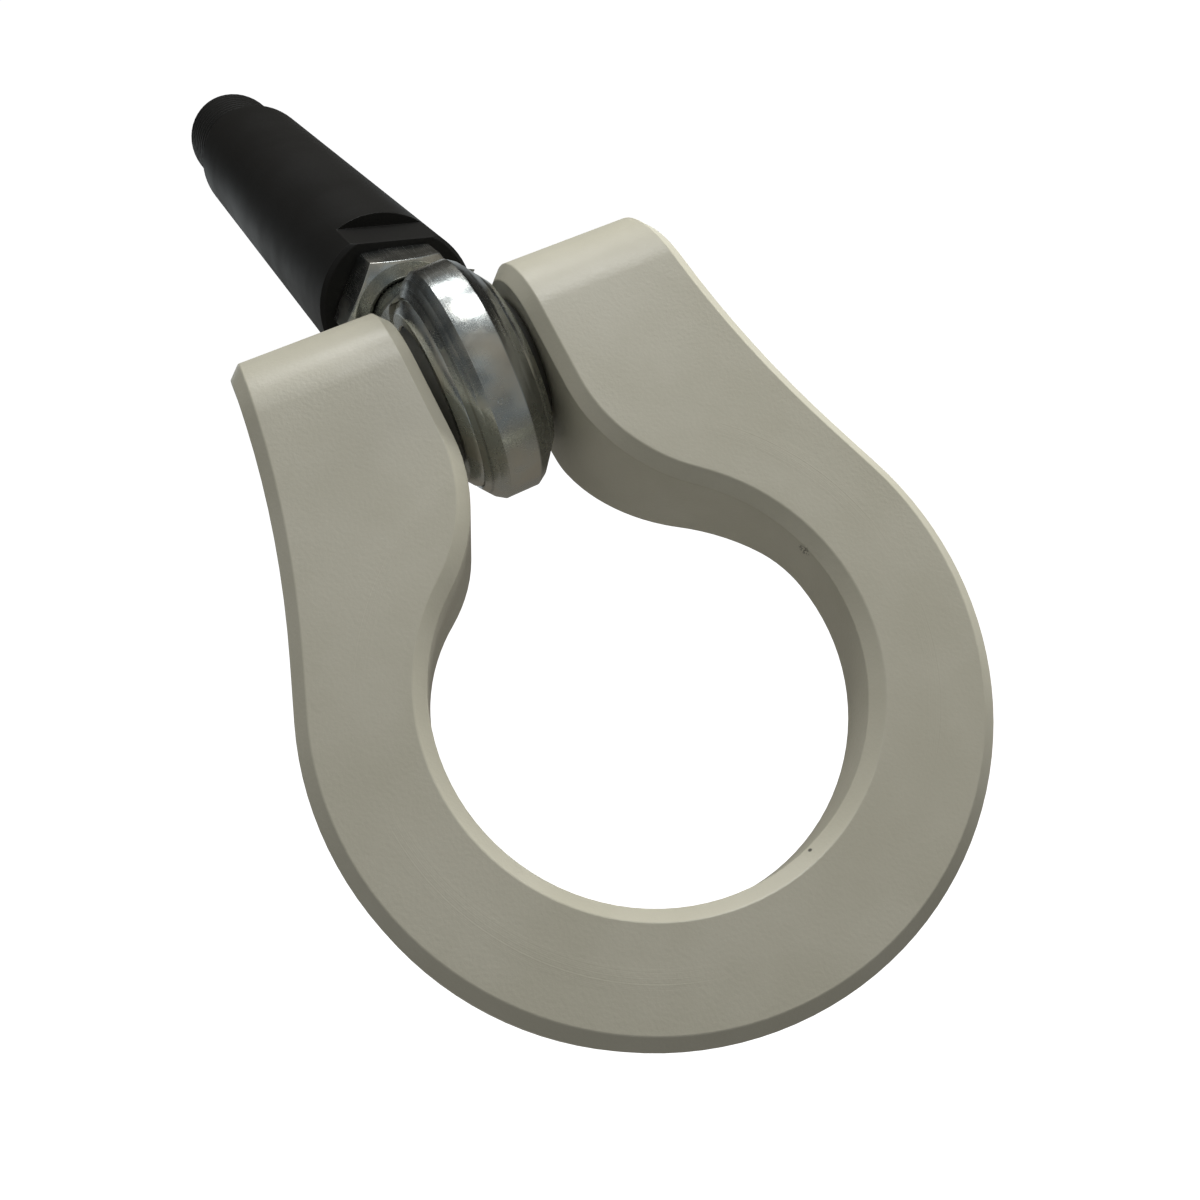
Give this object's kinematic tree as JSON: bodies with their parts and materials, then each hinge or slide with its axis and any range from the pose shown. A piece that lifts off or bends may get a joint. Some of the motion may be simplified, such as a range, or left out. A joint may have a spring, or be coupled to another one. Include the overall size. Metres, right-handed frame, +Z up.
{
  "type": "tow eye",
  "caption": "Swivelling tow eye: an open ring with two arms, bolted to a rod end on a long round screw-in shaft.",
  "frame": {"origin": "centre of the shoulder where the threaded stud leaves the shaft, on the shaft's axis", "axes": "+Y along the shaft and out of the stud's free end, +Z up, +X to the right seen from the ring"},
  "size_m": [0.0846, 0.2653, 0.0748],
  "materials": {
    "ring_coating": "satin powder coat",
    "zinc_steel": "bright zinc plate",
    "ball_steel": "ground steel",
    "black_steel": "satin black"
  },
  "bodies": {
    "shaft_assembly": {"shaft": "black_steel", "jam_nut": "zinc_steel", "rod_end_body": "zinc_steel", "race_insert": "zinc_steel"},
    "ball": {"swivel_ball": "ball_steel"},
    "ring": {"tow_ring": "ring_coating", "pivot_bolt": "zinc_steel"}
  },
  "joints": [
    {"name": "side_tilt", "type": "hinge", "parent": "shaft_assembly", "child": "ball", "pos_m": [0, -0.1552, 0], "axis": [0, 0, 1], "range_deg": [-5, 5]},
    {"name": "ring_swing", "type": "hinge", "parent": "ball", "child": "ring", "pos_m": [0, -0.1552, 0], "axis": [1, 0, 0], "range_deg": [-179, 104]}
  ]
}
